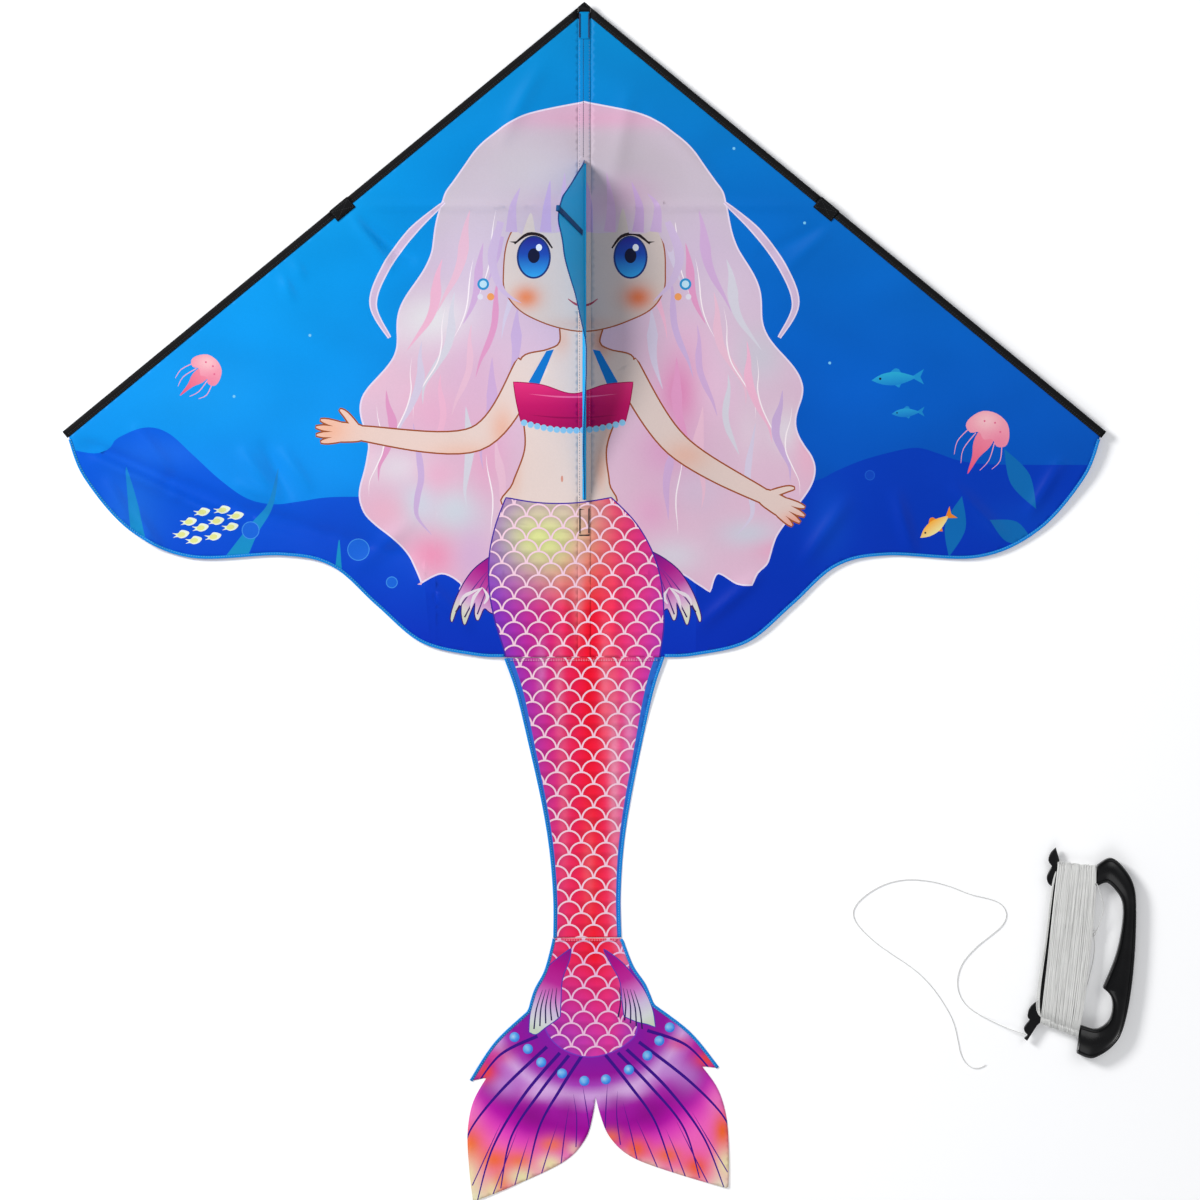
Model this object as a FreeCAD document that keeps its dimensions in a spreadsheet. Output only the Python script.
import FreeCAD, Part
import math
import os
from FreeCAD import Placement, Rotation, Vector

# A delta kite with a fish-tail sail, lying face up on a floor beside its line winder.
# +X runs to the kite's right wingtip, +Y to its nose and +Z out of its printed face.
# Places are first worked out from the kite's datum, the point on the floor under the crossing of
# the spine and the spreader. The frame's origin is the middle of the whole kit's footprint, so every
# piece is placed through at_datum(), which adds the datum's own place.

SIZES = [
    ("datum_x", -20.03, "kite's centreline from the frame's origin"),
    ("datum_y", 531.77, "spreader's axis from the frame's origin"),
    ("half_span", 702, "centreline to a wingtip"),
    ("nose_reach", 275, "spreader to the nose"),
    ("tip_drop", 303, "spreader back to the wingtips"),
    ("spar_diameter", 5, "fibreglass rods"),
    ("spar_height", 10.6, "axis of the spine and leading-edge spars over the floor"),
    ("spar_setback", 30, "nose to the front end of a leading-edge spar"),
    ("leading_spar_length", 850, "length of a leading-edge spar"),
    ("spine_front", 258, "spreader to the spine's front end"),
    ("spine_length", 695, "length of the spine spar"),
    ("spreader_height", 4, "spreader's axis over the floor"),
    ("spreader_length", 636, "length of the spreader spar"),
    ("sleeve_bore", 6.6, "inside of a sleeve"),
    ("sleeve_wall", 0.5, "folded fabric round a spar"),
    ("strip_thickness", 0.8, "sewn flap of a sleeve"),
    ("edge_band", 13.5, "width of a leading-edge sleeve as it lies"),
    ("spine_band", 15, "width of the centre strip"),
    ("spine_sleeve_length", 702.5, "length of the centre sleeve"),
    ("sleeve_front", 261, "spreader to the centre sleeve's front end"),
    ("wing_root", 8, "centreline to the fold of a wing"),
    ("nose_clearance", 8.6, "centreline to the leading-edge sleeves at the nose"),
    ("nose_point_width", 14.4, "width of the webbing's flat point at the nose"),
    ("fabric", 0.5, "sail cloth as one solid"),
    ("hem_thickness", 0.9, "folded hem"),
    ("hem_width", 5.5, "sewn hem along a free edge"),
    ("patch_thickness", 0.6, "reinforcing webbing"),
    ("patch_length", 36, "spreader patch along the leading edge"),
    ("patch_width", 20.5, "spreader patch across the leading edge"),
    ("patch_lip", 2.4, "how far the patch turns down over the sleeve"),
    ("window_length", 32, "opening in the sleeve for the spreader's clip"),
    ("window_roof", 1, "cloth left over that opening"),
    ("cap_diameter", 6.2, "vinyl cap on a spar's end"),
    ("cap_length", 12, "length of a vinyl cap"),
    ("cap_floor", 1.5, "closed end of a vinyl cap"),
    ("nose_patch_length", 37.2, "webbing over the nose"),
    ("end_patch_length", 38.7, "webbing over the spine's tail end"),
    ("nose_patch_width", 14, "width of both webbing patches"),
    ("wing_end", -605.8, "rear edge of the wing panels"),
    ("tail_start", -607, "front edge of the tail"),
    ("tail_end", -983, "rear edge of the tail"),
    ("fluke_start", -984, "front edge of the fluke"),
    ("tail_slope", 140, "length over which the tail comes down to the floor"),
    ("tail_sway", 0.6, "degrees that the tail lies off the centreline"),
    ("fluke_sway", 3, "degrees that the fluke lies off the centreline"),
    ("keel_height", 15, "foot of the keel over the floor"),
    ("keel_lean", -16, "degrees that the keel leans off the vertical"),
    ("keel_hem_width", 4, "hem along the keel's free edge"),
    ("keel_hem_thickness", 1, "thickness of that hem"),
    ("webbing_width", 7.7, "webbing band on the keel"),
    ("webbing_thickness", 1, "one layer of that band"),
    ("webbing_gap", 1.1, "space between the band's two layers"),
    ("tow_bore", 5, "inside of the tow loop"),
    ("clip_wall", 1.6, "moulded wall of a spreader clip"),
    ("clip_clearance", 0.3, "clip's saddle round the spar"),
    ("clip_block", 8, "width and height of the clip's socket"),
    ("clip_inner_end", 296, "centreline to the mouth of a clip's socket"),
    ("clip_outer_end", 331, "centreline to the far end of a clip"),
    ("saddle_length", 14, "saddle along the leading edge"),
    ("saddle_top", 12, "height of the saddle's arms over the floor"),
    ("winder_x", 621.9, "middle of the winder's rail from the datum"),
    ("winder_y", -1006.9, "middle of the winder's rail from the datum"),
    ("winder_turn", -6.2, "degrees that the winder is turned"),
    ("winder_thickness", 20, "thickness of the winder's grip"),
    ("winder_plate", 6, "thickness of the winder's core and horns"),
    ("line_package_depth", 20, "thickness of the wound line"),
    ("line_package_width", 50, "width of the wound line"),
    ("line_diameter", 1.2, "flying line"),
]

doc = FreeCAD.newDocument("delta_kite")
sizes = doc.addObject("Spreadsheet::Sheet", "sizes")
for row, (alias, value, meaning) in enumerate(SIZES, start=1):
    sizes.set("A%d" % row, alias)
    sizes.set("B%d" % row, str(value))
    sizes.setAlias("B%d" % row, alias)
    sizes.set("C%d" % row, meaning)
doc.recompute()

SIDES = {"left": -1, "right": 1}
kept = []


def size(alias):
    """A driving dimension, read from the sheet."""
    return float(sizes.get(alias))


SPAR_RADIUS = size("spar_diameter") / 2
SLEEVE_RADIUS = size("sleeve_bore") / 2 + size("sleeve_wall")
SLEEVE_TOP = size("spar_height") + SLEEVE_RADIUS
SAIL_HEIGHT = SLEEVE_TOP - size("strip_thickness")
EDGE_ANGLE = math.atan2(size("nose_reach") + size("tip_drop"), size("half_span"))
EDGE_LENGTH = math.hypot(size("nose_reach") + size("tip_drop"), size("half_span"))


# ---------------------------------------------------------------- places

def at_datum(x=0.0, y=0.0, z=0.0, rotation=None):
    """A placement measured from the kite's datum."""
    corner = Vector(size("datum_x") + x, size("datum_y") + y, z)
    return Placement(corner, rotation or Rotation())


def edge_point(side, along, inward):
    """The point so far from the nose along a leading edge, and so far in from it."""
    x = along * math.cos(EDGE_ANGLE) - inward * math.sin(EDGE_ANGLE)
    y = size("nose_reach") - along * math.sin(EDGE_ANGLE) - inward * math.cos(EDGE_ANGLE)
    return Vector(side * x, y, 0)


def edge_direction(side):
    return Vector(side * math.cos(EDGE_ANGLE), -math.sin(EDGE_ANGLE), 0)


def edge_frame(side, height=0.0):
    """A frame at the nose whose Y runs along the leading edge and whose X, times side, runs inward."""
    turn = -side * (90 + math.degrees(EDGE_ANGLE))
    return at_datum(0, size("nose_reach"), height, Rotation(Vector(0, 0, 1), turn))


# Where a leading-edge spar crosses the spreader's axis, measured from the nose along the edge.
CROSSING = (size("nose_reach") - SLEEVE_RADIUS * math.cos(EDGE_ANGLE)) / math.sin(EDGE_ANGLE)


# ---------------------------------------------------------------- document helpers

def keep(piece, label):
    piece.Label = label
    kept.append(piece)
    return piece


def origin_plane(body, role):
    return [feature for feature in body.Origin.OriginFeatures if feature.Role == role][0]


def padded_body(name, role, curves, length, symmetric=False):
    """A body with one closed sketch on an origin plane, padded by a length from the sheet."""
    body = doc.addObject("PartDesign::Body", name)
    sketch = body.newObject("Sketcher::SketchObject", name + "_sketch")
    sketch.AttachmentSupport = [(origin_plane(body, role), "")]
    sketch.MapMode = "FlatFace"
    for curve in curves:
        sketch.addGeometry(curve, False)
    pad = body.newObject("PartDesign::Pad", name + "_pad")
    pad.Profile = sketch
    pad.setExpression("Length", length)
    if symmetric:
        pad.SideType = "Symmetric"
    return body


def rod(name, diameter, length, start, direction):
    """A cylinder from a start point along a direction, with its sizes bound to the sheet."""
    cylinder = doc.addObject("Part::Cylinder", name)
    cylinder.setExpression("Radius", diameter + " / 2")
    cylinder.setExpression("Height", length)
    cylinder.Placement = at_datum(*start, Rotation(Vector(0, 0, 1), direction))
    return cylinder


def block(name, length, width, height):
    box = doc.addObject("Part::Box", name)
    box.setExpression("Length", length)
    box.setExpression("Width", width)
    box.setExpression("Height", height)
    return box


def combine(kind, name, base, tool):
    """A Part::Cut, Part::Fuse or Part::Common of two objects."""
    result = doc.addObject("Part::" + kind, name)
    result.Base = base
    result.Tool = tool
    return result


def line(start, end):
    return Part.LineSegment(start, end)


def polygon(points):
    return [line(points[i], points[(i + 1) % len(points)]) for i in range(len(points))]


def spline(points):
    curve = Part.BSplineCurve()
    curve.interpolate(points)
    return curve


def inset(points, distance, side):
    """The points of a free edge moved in by a distance, square to the spline through them."""
    curve = spline(points)
    moved = []
    for point in points:
        tangent = curve.tangent(curve.parameter(point))[0]
        moved.append(point + Vector(tangent.y, -tangent.x, 0) * (side * distance))
    return moved


def swayed(points, pivot_y, degrees):
    """Points of the tail or the fluke, swung sideways about its front edge as it lies."""
    turn = Rotation(Vector(0, 0, 1), degrees)
    pivot = Vector(0, pivot_y, 0)
    return [turn.multVec(point - pivot) + pivot for point in points]


def on_line_y(point, y):
    return Vector(point.x, y, 0)


# ---------------------------------------------------------------- spars and their caps

def end_cap(label, end, outward):
    """A vinyl cup pushed over a spar's end."""
    mouth = Vector(*end) - outward * (size("cap_length") - size("cap_floor"))
    cup = rod(label + "_cup", "sizes.cap_diameter", "sizes.cap_length", tuple(mouth), outward)
    hollow = rod(label + "_hollow", "sizes.spar_diameter", "sizes.cap_length - sizes.cap_floor",
                 tuple(mouth), outward)
    keep(combine("Cut", label, cup, hollow), label)


def spine_spar():
    height = size("spar_height")
    front = (0, size("spine_front"), height)
    rear = (0, size("spine_front") - size("spine_length"), height)
    back = Vector(0, -1, 0)
    keep(rod("spine_spar", "sizes.spar_diameter", "sizes.spine_length", front, back), "spine_spar")
    end_cap("spine_nose_cap", front, -back)
    end_cap("spine_tail_cap", rear, back)


def leading_edge_spar(name, side):
    start = edge_point(side, size("spar_setback"), SLEEVE_RADIUS)
    start.z = size("spar_height")
    along = edge_direction(side)
    label = name + "_leading_edge_spar"
    keep(rod(label, "sizes.spar_diameter", "sizes.leading_spar_length", tuple(start), along), label)
    end_cap(name + "_nose_end_cap", tuple(start), -along)
    end_cap(name + "_tip_end_cap", tuple(start + along * size("leading_spar_length")), along)


def spreader_spar():
    start = (-size("spreader_length") / 2, 0, size("spreader_height"))
    keep(rod("spreader_spar", "sizes.spar_diameter", "sizes.spreader_length", start, Vector(1, 0, 0)),
         "spreader_spar")


def spreader_clip(name, side):
    """A moulded clip: a socket on the spreader's end and a saddle that holds the spar from behind."""
    label = name + "_spreader_clip"
    socket = block(label + "_socket", "sizes.clip_outer_end - sizes.clip_inner_end",
                   "sizes.clip_block", "sizes.clip_block")
    inner_end = size("clip_inner_end") if side > 0 else -size("clip_outer_end")
    socket.Placement = at_datum(inner_end, -size("clip_block") / 2, 0)

    arm_reach = SPAR_RADIUS + size("clip_clearance") + size("clip_wall")
    arm = "(sizes.spar_diameter / 2 + sizes.clip_clearance + sizes.clip_wall)"
    saddle = block(label + "_saddle", "2 * " + arm, "sizes.saddle_length",
                   "sizes.saddle_top - sizes.spar_height + " + arm)
    corner = Vector(side * SLEEVE_RADIUS - arm_reach, CROSSING - size("saddle_length") / 2,
                    size("spar_height") - arm_reach)
    saddle.Placement = edge_frame(side).multiply(Placement(corner, Rotation()))
    moulding = combine("Fuse", label + "_moulding", socket, saddle)

    spar_hole = rod(label + "_spar_hole", "sizes.spar_diameter", "sizes.spreader_length",
                    (-size("spreader_length") / 2, 0, size("spreader_height")), Vector(1, 0, 0))
    drilled = combine("Cut", label + "_drilled", moulding, spar_hole)

    groove_start = edge_point(side, CROSSING - size("saddle_length"), SLEEVE_RADIUS)
    groove_start.z = size("spar_height")
    groove = rod(label + "_groove", "(sizes.spar_diameter + 2 * sizes.clip_clearance)",
                 "2 * sizes.saddle_length", tuple(groove_start), edge_direction(side))
    opening = block(label + "_opening", "sizes.spar_diameter + 2 * sizes.clip_clearance",
                    "2 * sizes.saddle_length", "sizes.saddle_top")
    opening_half = SPAR_RADIUS + size("clip_clearance")
    corner = Vector(side * SLEEVE_RADIUS - opening_half, CROSSING - size("saddle_length"),
                    size("spar_height"))
    opening.Placement = edge_frame(side).multiply(Placement(corner, Rotation()))
    channel = combine("Fuse", label + "_channel", groove, opening)
    keep(combine("Cut", label, drilled, channel), label)


# ---------------------------------------------------------------- sleeves and patches

def sleeve_section(tube_at, flaps, side=1):
    """A fabric tube with a bore for the spar, and its sewn flaps level with the tube's top."""
    outer = SLEEVE_RADIUS
    foot = outer - size("strip_thickness")
    reach = math.sqrt(outer ** 2 - foot ** 2)
    start, end = flaps
    lowest = Vector(side * tube_at, -outer, 0)
    bore = Part.Circle(Vector(side * tube_at, 0, 0), Vector(0, 0, 1), size("sleeve_bore") / 2)
    flap_end = [Vector(side * (tube_at + reach), foot, 0), Vector(side * end, foot, 0),
                Vector(side * end, outer, 0)]
    if start < tube_at:
        flap_start = [Vector(side * start, outer, 0), Vector(side * start, foot, 0),
                      Vector(side * (tube_at - reach), foot, 0)]
    else:
        flap_start = [Vector(side * tube_at, outer, 0)]
    arc_mid = lowest
    if start >= tube_at:
        slant = outer / math.sqrt(2)
        arc_mid = Vector(side * (tube_at - slant), -slant, 0)
    corners = flap_end + flap_start
    lines = [line(corners[i], corners[i + 1]) for i in range(len(corners) - 1)]
    return lines + [Part.Arc(corners[-1], arc_mid, corners[0]), bore]


def spine_sleeve():
    half = size("spine_band") / 2
    body = padded_body("spine_sleeve", "XZ_Plane", sleeve_section(0, (-half, half)),
                       "sizes.spine_sleeve_length")
    body.Placement = at_datum(0, size("sleeve_front"), size("spar_height"))
    keep(body, "spine_sleeve")


def leading_edge_sleeve(name, side):
    """A sleeve along the leading edge, cut away at the nose and behind the spreader's clip."""
    label = name + "_leading_edge_sleeve"
    section = sleeve_section(SLEEVE_RADIUS, (SLEEVE_RADIUS, size("edge_band")), side)
    tube = padded_body(label + "_tube", "XZ_Plane", section,
                       "hypot(sizes.nose_reach + sizes.tip_drop; sizes.half_span)")
    # The pad runs towards -Y of its body, so the body starts at the wingtip.
    tube.Placement = edge_frame(side, size("spar_height")).multiply(
        Placement(Vector(0, EDGE_LENGTH, 0), Rotation()))

    nose_space = block(label + "_nose_space", "2 * sizes.nose_reach", "sizes.nose_reach",
                       "sizes.nose_reach")
    space_start = size("nose_clearance") - 2 * size("nose_reach") if side > 0 else -size("nose_clearance")
    nose_space.Placement = at_datum(space_start, 0, 0)
    shortened = combine("Cut", label + "_shortened", tube, nose_space)

    outer_width = "(sizes.sleeve_bore + 2 * sizes.sleeve_wall)"
    window = block(label + "_window", "2 * " + outer_width, "sizes.window_length",
                   "sizes.spar_height + %s / 2 - sizes.window_roof" % outer_width)
    corner = Vector(side * SLEEVE_RADIUS - 2 * SLEEVE_RADIUS, CROSSING - size("window_length") / 2, 0)
    window.Placement = edge_frame(side).multiply(Placement(corner, Rotation()))
    keep(combine("Cut", label, shortened, window), label)


def spreader_patch(name, side):
    """Webbing laid over the leading edge at the clip, its outer edge turned down."""
    thick = size("patch_thickness")
    lip = size("patch_lip")
    outline = [Vector(side * x, z, 0) for x, z in (
        (-thick, thick), (size("patch_width") - thick, thick), (size("patch_width") - thick, 0),
        (0, 0), (0, -lip + thick), (-thick, -lip + thick))]
    label = name + "_spreader_patch"
    body = padded_body(label, "XZ_Plane", polygon(outline), "sizes.patch_length")
    body.Placement = edge_frame(side, SLEEVE_TOP).multiply(
        Placement(Vector(0, CROSSING + size("patch_length") / 2, 0), Rotation()))
    keep(body, label)


def wrap_outline(length, forward):
    """A strip folded round the end of the centre sleeve, seen from the side."""
    thick = size("patch_thickness")
    wall = 2 * thick
    low = -SLEEVE_RADIUS
    high = SLEEVE_RADIUS
    corners = [(wall, low - thick), (wall, high + thick), (wall - length, high + thick),
               (wall - length, high), (0, high), (0, low), (wall - length, low),
               (wall - length, low - thick)]
    return polygon([Vector(forward * y, z, 0) for y, z in corners])


def nose_patch():
    """Webbing folded over the front end of the spine, with the flat point of the nose."""
    fold = padded_body("nose_fold", "YZ_Plane", wrap_outline(size("nose_patch_length"), 1),
                       "sizes.nose_patch_width", symmetric=True)
    fold.Placement = at_datum(0, size("sleeve_front"), size("spar_height"))
    half = size("nose_point_width") / 2
    front = size("sleeve_front") + 2 * size("patch_thickness")
    shoulder = size("nose_reach") - half * math.tan(EDGE_ANGLE)
    outline = polygon([Vector(-half, front, 0), Vector(half, front, 0), Vector(half, shoulder, 0),
                       Vector(0, size("nose_reach"), 0), Vector(-half, shoulder, 0)])
    point = padded_body("nose_point", "XY_Plane", outline, "sizes.strip_thickness")
    point.Placement = at_datum(0, 0, SAIL_HEIGHT)
    keep(combine("Fuse", "nose_patch", fold, point), "nose_patch")


def spine_end_patch():
    body = padded_body("spine_end_patch", "YZ_Plane", wrap_outline(size("end_patch_length"), -1),
                       "sizes.nose_patch_width", symmetric=True)
    body.Placement = at_datum(0, size("sleeve_front") - size("spine_sleeve_length"), size("spar_height"))
    keep(body, "spine_end_patch")


def centre_seam():
    """The seam that joins the two sail panels behind the spine."""
    half = size("spine_band") / 2
    front = size("sleeve_front") - size("spine_sleeve_length") - 2 * size("patch_thickness")
    outline = polygon([Vector(-half, front, 0), Vector(half, front, 0),
                       Vector(half, size("wing_end"), 0), Vector(-half, size("wing_end"), 0)])
    body = padded_body("centre_seam", "XY_Plane", outline, "sizes.strip_thickness")
    body.Placement = at_datum(0, 0, SAIL_HEIGHT)
    keep(body, "centre_seam")


# ---------------------------------------------------------------- wings

# The free rear edge of the right wing behind its tip corner, as distances from the datum: two
# shallow lobes that run out into the tail's seam.
TRAILING_EDGE = [(672, -366), (612, -435), (530, -472), (407, -469), (339, -484), (280, -536),
                 (220, -586), (149, -603.5), (108, -605.8)]


def trailing_edges(side):
    """The outer and inner line of a trailing hem, from the wingtip to the tail's seam."""
    tip = edge_point(side, EDGE_LENGTH, size("edge_band"))
    outer = [tip] + [Vector(side * x, y, 0) for x, y in TRAILING_EDGE]
    inner = inset(outer, size("hem_width"), side)
    inner[0] = edge_point(side, EDGE_LENGTH - size("hem_width"), size("edge_band"))
    return outer, inner


def sail_panel(name, side):
    outer, inner = trailing_edges(side)
    root_x = side * size("wing_root")
    edge_start = (size("wing_root") + size("edge_band") * math.sin(EDGE_ANGLE)) / math.cos(EDGE_ANGLE)
    front = edge_point(side, edge_start, size("edge_band"))
    rear = Vector(root_x, size("wing_end"), 0)
    curves = [line(front, rear), line(rear, outer[-1]), line(outer[-1], inner[-1]),
              spline(list(reversed(inner))), line(inner[0], front)]
    label = name + "_sail_panel"
    body = padded_body(label, "XY_Plane", curves, "sizes.fabric")
    body.Placement = at_datum(0, 0, SAIL_HEIGHT)
    keep(body, label)


def trailing_hem(name, side):
    outer, inner = trailing_edges(side)
    curves = [spline(outer), line(outer[-1], inner[-1]), spline(list(reversed(inner))),
              line(inner[0], outer[0])]
    label = name + "_trailing_hem"
    body = padded_body(label, "XY_Plane", curves, "sizes.hem_thickness")
    body.Placement = at_datum(0, 0, SAIL_HEIGHT)
    keep(body, label)


# ---------------------------------------------------------------- keel

# The keel's free edge in its own plane: distance along the spine from the datum, and depth.
KEEL_EDGE = [(59, 0.4), (43, 48), (22, 88), (-12, 114), (-50, 110), (-130, 84), (-260, 42), (-394, 5.4)]
KEEL_FOOT = 0.4
# The middle of the tow loop and the foot of its webbing, in the same plane.
TOW_LOOP = Vector(0, -9.5, 121)
WEBBING_FOOT = Vector(0, -36, 12)


def keel_frame():
    return at_datum(0, 0, size("keel_height"), Rotation(Vector(0, 1, 0), size("keel_lean")))


def keel_edges():
    outer = [Vector(y, z, 0) for y, z in KEEL_EDGE]
    inner = inset(outer, size("keel_hem_width"), -1)
    inner[0] = Vector(outer[0].x - size("keel_hem_width"), KEEL_FOOT, 0)
    inner[-1] = Vector(outer[-1].x, outer[-1].y - size("keel_hem_width"), 0)
    return outer, inner


def keel_panel():
    outer, inner = keel_edges()
    rear_foot = Vector(inner[-1].x, KEEL_FOOT, 0)
    curves = [spline(inner), line(inner[-1], rear_foot), line(rear_foot, inner[0])]
    body = padded_body("keel_panel", "YZ_Plane", curves, "sizes.fabric", symmetric=True)
    body.Placement = keel_frame()
    keep(body, "keel_panel")


def keel_hem():
    outer, inner = keel_edges()
    curves = [spline(outer), line(outer[-1], inner[-1]), spline(list(reversed(inner))),
              line(inner[0], outer[0])]
    body = padded_body("keel_hem", "YZ_Plane", curves, "sizes.keel_hem_thickness", symmetric=True)
    body.Placement = keel_frame()
    keep(body, "keel_hem")


def tow_webbing():
    """A webbing band sewn to both faces of the keel, its fold left open as the tow loop."""
    reach = TOW_LOOP - WEBBING_FOOT
    gap = size("webbing_gap") / 2
    outside = gap + size("webbing_thickness")
    bore = size("tow_bore") / 2
    rim = bore + size("webbing_thickness")
    centre = reach.Length
    rim_foot = centre - math.sqrt(rim ** 2 - outside ** 2)
    bore_foot = centre - math.sqrt(bore ** 2 - gap ** 2)
    curves = [
        line(Vector(-outside, 0, 0), Vector(-outside, rim_foot, 0)),
        Part.Arc(Vector(-outside, rim_foot, 0), Vector(0, centre + rim, 0), Vector(outside, rim_foot, 0)),
        line(Vector(outside, rim_foot, 0), Vector(outside, 0, 0)),
        line(Vector(outside, 0, 0), Vector(gap, 0, 0)),
        line(Vector(gap, 0, 0), Vector(gap, bore_foot, 0)),
        Part.Arc(Vector(gap, bore_foot, 0), Vector(0, centre + bore, 0), Vector(-gap, bore_foot, 0)),
        line(Vector(-gap, bore_foot, 0), Vector(-gap, 0, 0)),
        line(Vector(-gap, 0, 0), Vector(-outside, 0, 0)),
    ]
    body = padded_body("tow_webbing", "XZ_Plane", curves, "sizes.webbing_width", symmetric=True)
    tilt = Rotation(Vector(0, 0, 1), reach)
    body.Placement = keel_frame().multiply(Placement(WEBBING_FOOT, tilt))
    keep(body, "tow_webbing")


# ---------------------------------------------------------------- tail and fluke

# Half outlines about the centreline, the tail's from the datum and the fluke's from its front edge.
TAIL_SIDE = [(108, -607), (93, -651), (77, -720), (60, -800), (50, -865), (45.5, -930), (46, -983)]
FLUKE_WAIST = [(47, 0), (60, -40), (75, -65), (85, -93)]
FLUKE_FIN = [(85, -93), (132, -133), (168, -182)]
FLUKE_NOTCH = (145, -180)
FLUKE_SIDE = [(145, -180), (165, -212), (174.5, -252), (175, -300), (172, -346)]
FLUKE_FOOT = [(172, -346), (110, -325), (46, -298), (17, -270), (5.5, -240), (0, -213)]


def tail_sides(side):
    """The outer and inner line of a tail hem."""
    points = [Vector(side * x, y, 0) for x, y in TAIL_SIDE]
    inner = inset(points, size("hem_width"), side)
    lines = []
    for edge in (points, inner):
        laid = swayed(edge, size("tail_start"), size("tail_sway"))
        laid[0] = on_line_y(laid[0], size("tail_start"))
        laid[-1] = on_line_y(laid[-1], size("tail_end"))
        lines.append(laid)
    return lines


def tail_slab(name, thickness):
    """A layer that starts level with the sail, runs down in two easy curves and lies on the floor."""
    drop = SAIL_HEIGHT
    run = size("tail_slope")
    radius = (run ** 2 + drop ** 2) / (4 * drop)
    half_turn = math.atan2(drop, run)
    upper_mid = Vector(-radius * math.sin(half_turn), drop - radius * (1 - math.cos(half_turn)), 0)
    lower_mid = Vector(-run, 0, 0) - upper_mid + Vector(0, drop, 0)
    start = Vector(0, drop, 0)
    middle = Vector(-run / 2, drop / 2, 0)
    landing = Vector(-run, 0, 0)
    end = Vector(size("tail_end") - size("tail_start"), 0, 0)
    up = Vector(0, size(thickness), 0)
    curves = []
    for lift in (Vector(0, 0, 0), up):
        curves.append(Part.Arc(start + lift, upper_mid + lift, middle + lift))
        curves.append(Part.Arc(middle + lift, lower_mid + lift, landing + lift))
        curves.append(line(landing + lift, end + lift))
    curves.append(line(start, start + up))
    curves.append(line(end, end + up))
    slab = padded_body(name, "YZ_Plane", curves, "sizes.half_span", symmetric=True)
    slab.Placement = at_datum(0, size("tail_start"), 0)
    return slab


def flat_piece(label, slab, curves):
    """The part of a slab that lies inside an outline."""
    prism = padded_body(label + "_outline", "XY_Plane", curves, "2 * sizes.keel_height")
    prism.Placement = at_datum(0, 0, -1)
    return combine("Common", label, slab, prism)


def seam_band(label, front_y):
    """The space of a seam's tape, as deep as a hem, behind a front edge."""
    band = block(label, "2 * sizes.half_span", "sizes.hem_width", "2 * sizes.keel_height")
    band.Placement = at_datum(-size("half_span"), front_y - size("hem_width"), -1)
    return band


def tail():
    cloth = tail_slab("tail_cloth", "fabric")
    folded = tail_slab("tail_folded_cloth", "hem_thickness")
    inner = {}
    for name, side in SIDES.items():
        outer, inner[name] = tail_sides(side)
        curves = [spline(outer), line(outer[-1], inner[name][-1]),
                  spline(list(reversed(inner[name]))), line(inner[name][0], outer[0])]
        keep(flat_piece(name + "_tail_hem", folded, curves), name + "_tail_hem")

    left, right = inner["left"], inner["right"]
    outline = [line(left[0], right[0]), spline(right), line(right[-1], left[-1]),
               spline(list(reversed(left)))]
    whole_panel = flat_piece("tail_panel_with_seam", cloth, outline)
    band = seam_band("tail_seam_band", size("tail_start"))
    keep(combine("Cut", "tail_panel", whole_panel, band), "tail_panel")
    under_tape = flat_piece("tail_seam_outline", folded, outline)
    keep(combine("Common", "tail_seam_tape", under_tape, band), "tail_seam_tape")


def fluke_points(points, side):
    """Points of the fluke's half outline, mirrored to a side and swung as the fluke lies."""
    start = size("fluke_start")
    placed = [Vector(side * x, start + y, 0) for x, y in points]
    shift = Vector(tail_sides(1)[0][-1].x - TAIL_SIDE[-1][0], 0, 0)
    return [point + shift for point in swayed(placed, start, size("fluke_sway"))]


def fluke_hem_lines(side):
    """The hem runs down the waist and out along the fin's front edge to its tip."""
    outer = [fluke_points(FLUKE_WAIST, side), fluke_points(FLUKE_FIN, side)]
    inner = [inset(part, size("hem_width"), side) for part in outer]
    outer[0][0] = on_line_y(outer[0][0], size("fluke_start"))
    inner[0][0] = on_line_y(inner[0][0], size("fluke_start"))
    corner = (inner[0][-1] + inner[1][0]) * 0.5
    inner[0][-1] = corner
    inner[1][0] = corner
    return outer, inner


def fluke_hem(name, outer, inner):
    tip_outer = outer[1][-1]
    tip_inner = inner[1][-1]
    curves = [spline(outer[0]), spline(outer[1]), line(tip_outer, tip_inner),
              spline(list(reversed(inner[1]))), spline(list(reversed(inner[0]))),
              line(inner[0][0], outer[0][0])]
    label = name + "_fluke_hem"
    body = padded_body(label, "XY_Plane", curves, "sizes.hem_thickness")
    body.Placement = at_datum()
    keep(body, label)


def fluke():
    outline = []
    front = []
    for name, side in SIDES.items():
        outer, inner = fluke_hem_lines(side)
        fluke_hem(name, outer, inner)
        notch = fluke_points([FLUKE_NOTCH], side)[0]
        outline += [spline(inner[0]), spline(inner[1]), line(inner[1][-1], notch),
                    spline(fluke_points(FLUKE_SIDE, side)), spline(fluke_points(FLUKE_FOOT, side))]
        front.append(inner[0][0])
    outline.append(line(*front))
    band = seam_band("fluke_seam_band", size("fluke_start"))
    for label, whole_label, thickness, kind in (
            ("fluke_panel", "fluke_panel_with_seam", "sizes.fabric", "Cut"),
            ("fluke_seam_tape", "fluke_folded_cloth", "sizes.hem_thickness", "Common")):
        whole_cloth = padded_body(whole_label, "XY_Plane", outline, thickness)
        whole_cloth.Placement = at_datum()
        keep(combine(kind, label, whole_cloth, band), label)


# ---------------------------------------------------------------- winder and line

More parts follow.
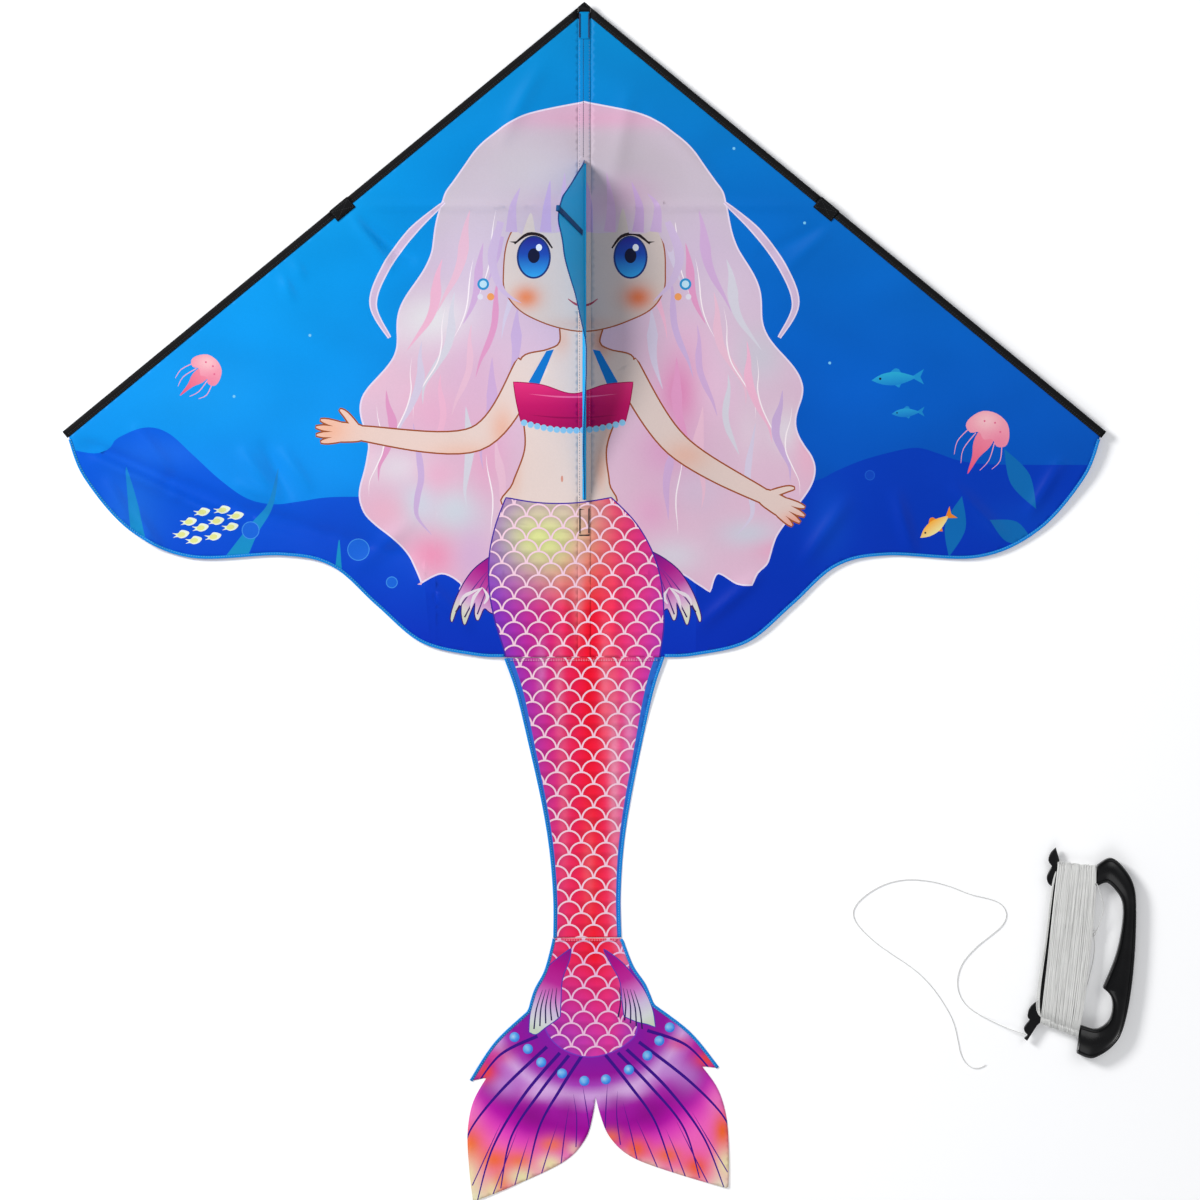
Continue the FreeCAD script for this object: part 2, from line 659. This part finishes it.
# The winder in its own plane: X across from the rail to the grip, Y along the rail.
CORE_LEFT, CORE_RIGHT = 3, 58
CORE_BOTTOM, CORE_TOP = -88, 105
GRIP_OUTER = [(54, 129), (71, 140.5), (89.5, 129), (105, 108), (112, 77), (117, 13), (116.7, -47),
              (111, -91), (100.7, -111), (86, -124.6), (71.8, -131), (54, -126)]
GRIP_UPPER_HOLE = [(58, 101), (69, 106.4), (82, 97.5), (93.4, 80.7), (95.8, 49.7), (91.6, 10), (79, -34.7)]
GRIP_LOWER_HOLE = [(79, -34.7), (90.7, -44.2), (95, -60), (91.7, -77.9), (76.8, -90.4), (58, -88)]


def winder_frame():
    return at_datum(size("winder_x"), size("winder_y"), 0, Rotation(Vector(0, 0, 1), size("winder_turn")))


def flat_points(pairs):
    return [Vector(x, y, 0) for x, y in pairs]


def winder_core():
    """The plate that carries the line, with a two-lobed horn at each end of its rail."""
    (top_right, top_tip, lobe_a, lobe_a_mid, notch, lobe_b_mid, rail_top, rail_foot, lobe_c_mid, lobe_c,
     lower_notch, lobe_d_mid, lobe_d, tip_mid, tip, horn_back) = flat_points([
         (2.6, 130), (-4.1, 146), (-12, 127.5), (-10.2, 138), (-6.4, 120.4), (-11.7, 106.5), (-3, 93),
         (-4.5, -60), (-15.2, -71), (-17.2, -83.5), (-13.9, -88), (-20.2, -98.5), (-14.8, -108.8),
         (-18.6, -113.4), (-14.2, -116.6), (-3.1, -94.5)])
    corners = flat_points([(CORE_LEFT, CORE_BOTTOM), (CORE_RIGHT, CORE_BOTTOM), (CORE_RIGHT, CORE_TOP),
                           (CORE_LEFT, CORE_TOP)])
    curves = [
        line(corners[3], top_right), line(top_right, top_tip),
        Part.Arc(top_tip, lobe_a_mid, lobe_a), line(lobe_a, notch),
        Part.Arc(notch, lobe_b_mid, rail_top), line(rail_top, rail_foot),
        Part.Arc(rail_foot, lobe_c_mid, lobe_c), line(lobe_c, lower_notch),
        Part.Arc(lower_notch, lobe_d_mid, lobe_d), Part.Arc(lobe_d, tip_mid, tip),
        line(tip, horn_back), line(horn_back, corners[0]),
        line(corners[0], corners[1]), line(corners[1], corners[2]), line(corners[2], corners[3]),
    ]
    core = padded_body("winder_core", "XY_Plane", curves, "sizes.winder_plate")
    middle = (size("winder_thickness") - size("winder_plate")) / 2
    core.Placement = winder_frame().multiply(Placement(Vector(0, 0, middle), Rotation()))
    return core


def winder_body():
    """One moulding: the core plate, its horns and the thick grip."""
    outer = flat_points(GRIP_OUTER)
    upper = flat_points(GRIP_UPPER_HOLE)
    lower = flat_points(GRIP_LOWER_HOLE)
    left = GRIP_OUTER[0][0]
    inner_top = Vector(left, upper[0].y, 0)
    inner_foot = Vector(left, lower[-1].y, 0)
    curves = [spline(outer), line(outer[-1], inner_foot), line(inner_foot, lower[-1]),
              spline(list(reversed(lower))), spline(list(reversed(upper))),
              line(upper[0], inner_top), line(inner_top, outer[0])]
    grip = padded_body("winder_grip", "XY_Plane", curves, "sizes.winder_thickness")
    grip.Placement = winder_frame()
    keep(combine("Fuse", "line_winder", winder_core(), grip), "line_winder")


# Ends of the wound line along the rail, and the radius of its rounded turns.
PACKAGE_BOTTOM, PACKAGE_TOP = -104, 128


def wound_line():
    """The package of line, wound lengthwise round the winder's core."""
    depth = size("line_package_depth")
    radius = depth / 2
    bottom = PACKAGE_BOTTOM + radius
    top = PACKAGE_TOP - radius
    plate = size("winder_plate") / 2
    curves = [
        line(Vector(bottom, -radius, 0), Vector(top, -radius, 0)),
        Part.Arc(Vector(top, -radius, 0), Vector(PACKAGE_TOP, 0, 0), Vector(top, radius, 0)),
        line(Vector(top, radius, 0), Vector(bottom, radius, 0)),
        Part.Arc(Vector(bottom, radius, 0), Vector(PACKAGE_BOTTOM, 0, 0), Vector(bottom, -radius, 0)),
    ]
    curves += polygon([Vector(CORE_BOTTOM, -plate, 0), Vector(CORE_TOP, -plate, 0),
                       Vector(CORE_TOP, plate, 0), Vector(CORE_BOTTOM, plate, 0)])
    package = padded_body("wound_line", "YZ_Plane", curves, "sizes.line_package_width")
    package.Placement = winder_frame().multiply(Placement(Vector(CORE_LEFT, 0, radius), Rotation()))
    keep(package, "wound_line")


# The free length of the flying line, from the horn's hook down to the floor and along it.
LINE_ROUTE = [
    (593.6, -1113.2, 9.2), (583.0, -1110.0, 8.0), (566.5, -1104.0, 4.6), (549.0, -1096.0, 1.9),
    (532.0, -1087.5, 0.8), (514.5, -1076.0, 0.7), (503.2, -1058.5, 0.7), (501.2, -1038.0, 0.7),
    (508.5, -1016.0, 0.7), (528.0, -995.0, 0.7), (548.0, -979.5, 0.7), (563.5, -967.0, 0.7),
    (569.5, -952.0, 0.7), (562.5, -938.0, 0.7), (546.0, -931.0, 0.7), (519.0, -925.5, 0.7),
    (495.0, -915.0, 0.7), (466.0, -907.0, 0.7), (435.0, -904.2, 0.7), (405.0, -910.0, 0.7),
    (378.0, -925.5, 0.7), (361.0, -943.5, 0.7), (363.0, -962.0, 0.7), (388.0, -987.5, 0.7),
    (415.0, -1006.5, 0.7), (443.0, -1024.5, 0.7), (466.0, -1046.5, 0.7), (484.0, -1072.0, 0.7),
    (497.5, -1097.0, 0.7), (502.5, -1121.0, 0.7), (507.0, -1143.5, 0.7), (518.0, -1157.5, 0.7),
    (531.0, -1160.5, 0.7), (540.5, -1154.5, 0.7),
]


def rounded_path(points):
    """Straight runs joined by tangent arcs, each as large as its two runs allow."""
    edges = []
    radii = []
    here = points[0]
    for before, corner, after in zip(points, points[1:], points[2:]):
        back = before - corner
        ahead = after - corner
        half_turn = (math.pi - back.getAngle(ahead)) / 2
        reach = 0.45 * min(back.Length, ahead.Length)
        radius = reach / math.tan(half_turn)
        enter = corner + back * (reach / back.Length)
        leave = corner + ahead * (reach / ahead.Length)
        inward = (enter + leave) * 0.5 - corner
        centre = corner + inward * (radius / math.cos(half_turn) / inward.Length)
        middle = centre + (corner - centre) * (radius / (corner - centre).Length)
        edges.append(Part.LineSegment(here, enter).toShape())
        edges.append(Part.Arc(enter, middle, leave).toShape())
        radii.append(radius)
        here = leave
    edges.append(Part.LineSegment(here, points[-1]).toShape())
    return Part.Wire(edges), radii


def flying_line():
    points = [Vector(*point) for point in LINE_ROUTE]
    path, radii = rounded_path(points)
    section_radius = size("line_diameter") / 2
    ring = Part.Circle(points[0], points[1] - points[0], section_radius).toShape()
    tube = path.makePipeShell([Part.Wire([ring])], True, False)
    piece = doc.addObject("Part::Feature", "flying_line")
    piece.Shape = tube
    piece.Placement = at_datum()
    keep(piece, "flying_line")
    expected = math.pi * section_radius ** 2 * path.Length
    print("flying line: length %.1f mm, smallest radius %.1f mm, volume %.1f of %.1f mm3" % (
        path.Length, min(radii), tube.Volume, expected))
    print("radii:", " ".join("%.0f" % radius for radius in radii))


# ---------------------------------------------------------------- the whole kit

def build():
    spine_spar()
    spine_sleeve()
    nose_patch()
    spine_end_patch()
    centre_seam()
    spreader_spar()
    for name, side in SIDES.items():
        leading_edge_sleeve(name, side)
        leading_edge_spar(name, side)
        spreader_patch(name, side)
        spreader_clip(name, side)
        sail_panel(name, side)
        trailing_hem(name, side)
    keel_panel()
    keel_hem()
    tow_webbing()
    tail()
    fluke()
    winder_body()
    wound_line()
    flying_line()
    doc.recompute()


def check():
    for item in doc.Objects:
        if "Invalid" in item.State or "Error" in item.State:
            raise RuntimeError("%s failed: %s" % (item.Label, item.State))
    for piece in kept:
        shape = piece.Shape
        if shape.isNull() or not shape.isValid() or not shape.Solids:
            raise RuntimeError("%s has no valid solid" % piece.Label)


def write():
    os.makedirs("parts", exist_ok=True)
    for piece in kept:
        piece.Shape.exportStep("parts/%s.step" % piece.Label)


build()
check()
write()
whole = kept[0].Shape.BoundBox
for piece in kept[1:]:
    whole = whole.united(piece.Shape.BoundBox)
print("whole kit: X %.2f to %.2f, Y %.2f to %.2f, Z %.2f to %.2f mm" % (
    whole.XMin, whole.XMax, whole.YMin, whole.YMax, whole.ZMin, whole.ZMax))
